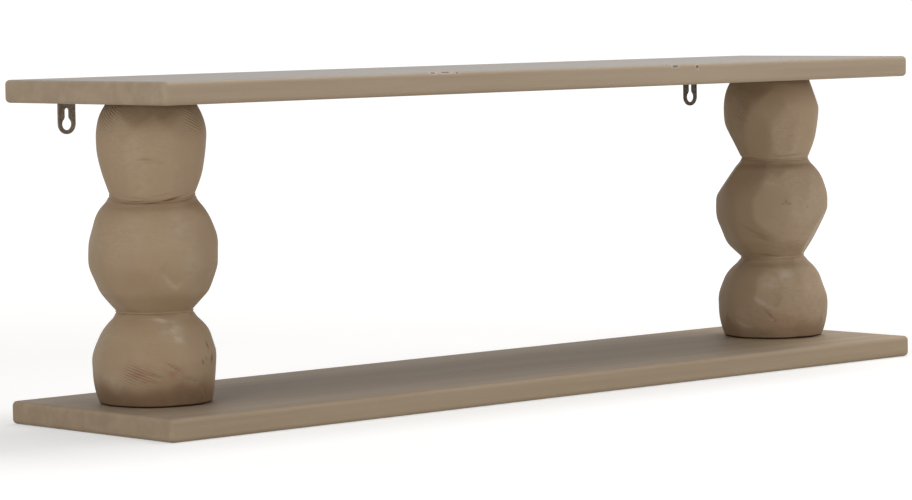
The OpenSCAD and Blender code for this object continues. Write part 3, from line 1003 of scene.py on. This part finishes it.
def light_room(context, strength):
    """Even white light from all round, and a white background for the camera and for reflections."""
    world = bpy.data.worlds.new("white_studio")
    world.use_nodes = True
    tree = world.node_tree
    tree.nodes.clear()
    seen = shown_white(tree)
    power = add_node(tree, "ShaderNodeMapRange", {"Value": seen, "To Min": strength, "To Max": 1.0})
    light = add_node(tree, "ShaderNodeBackground", {"Color": (1, 1, 1, 1), "Strength": power})
    add_node(tree, "ShaderNodeOutputWorld", {"Surface": light})
    context.scene.world = world


def hang_lamp(context, name, place, target, size, power):
    """A square soft lamp at a place, aimed at a target."""
    lamp = bpy.data.lights.new(name, "AREA")
    lamp.size = size
    lamp.energy = power
    obj = add_object(context, name, lamp)
    obj.location = place
    obj.rotation_euler = (target - place).to_track_quat("-Z", "Y").to_euler()


def set_camera(context, stage):
    """The camera at the picture's angle: turned about +Z, pitched down, then rolled about its view."""
    turn, pitch, roll = stage.camera_turn, stage.camera_pitch, stage.camera_roll
    ahead = Vector((math.sin(turn) * math.cos(pitch), math.cos(turn) * math.cos(pitch), -math.sin(pitch)))
    right = Vector((math.cos(turn), -math.sin(turn), 0))
    up = right.cross(ahead)
    across = math.cos(roll) * right + math.sin(roll) * up
    upward = -math.sin(roll) * right + math.cos(roll) * up
    camera = bpy.data.cameras.new("picture_camera")
    camera.sensor_width = 36
    camera.lens = stage.focal_length
    camera.clip_end = 2000
    obj = add_object(context, "picture_camera", camera)
    axes = Matrix((across, upward, -ahead)).transposed().to_4x4()
    obj.matrix_world = Matrix.Translation(stage.camera_place) @ axes
    context.scene.camera = obj


class SHELF_OT_set_stage(bpy.types.Operator):
    """Lay the floor, hang the lamps and set the camera"""
    bl_idname = "shelf.set_stage"
    bl_label = "Set stage"

    def execute(self, context):
        stage = context.scene.shelf_stage
        lay_floor(context, stage.floor_colour)
        light_room(context, stage.sky_strength)
        middle = (LOW + HIGH) / 2
        for name, (turn, rise, power) in LAMPS.items():
            turn, rise = math.radians(turn), math.radians(rise)
            ray = Vector((math.cos(rise) * math.cos(turn), math.cos(rise) * math.sin(turn), math.sin(rise)))
            hang_lamp(context, name, middle + stage.lamp_distance * ray, middle, stage.lamp_size, power)
        set_camera(context, stage)
        context.scene.view_settings.view_transform = "Standard"
        return {"FINISHED"}


class SHELF_PT_panel(bpy.types.Panel):
    """Sizes, colours and steps of the shelf"""
    bl_label = "Shelf"
    bl_idname = "SHELF_PT_panel"
    bl_space_type = "VIEW_3D"
    bl_region_type = "UI"
    bl_category = "Shelf"

    def draw(self, context):
        for operator in OPERATORS:
            self.layout.operator(operator.bl_idname)
        for name, group in SETTINGS.items():
            box = self.layout.box()
            for key in group.__annotations__:
                box.prop(getattr(context.scene, name), key)


OPERATORS = (SHELF_OT_carve_posts, SHELF_OT_paint_boards, SHELF_OT_finish_hardware, SHELF_OT_set_stage)
SETTINGS = {"shelf_posts": PostSettings, "shelf_paint": PaintSettings,
            "shelf_hardware": HardwareSettings, "shelf_stage": StageSettings}


def register():
    for cls in (*SETTINGS.values(), *OPERATORS, SHELF_PT_panel):
        bpy.utils.register_class(cls)
    for name, group in SETTINGS.items():
        setattr(bpy.types.Scene, name, PointerProperty(type=group))


def unregister():
    for name in SETTINGS:
        delattr(bpy.types.Scene, name)
    for cls in (SHELF_PT_panel, *reversed(OPERATORS), *reversed(SETTINGS.values())):
        bpy.utils.unregister_class(cls)


def main():
    """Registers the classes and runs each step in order."""
    register()
    bpy.ops.shelf.set_stage()
    bpy.ops.shelf.carve_posts()
    bpy.ops.shelf.paint_boards()
    bpy.ops.shelf.finish_hardware()


if __name__ == "__main__":
    main()
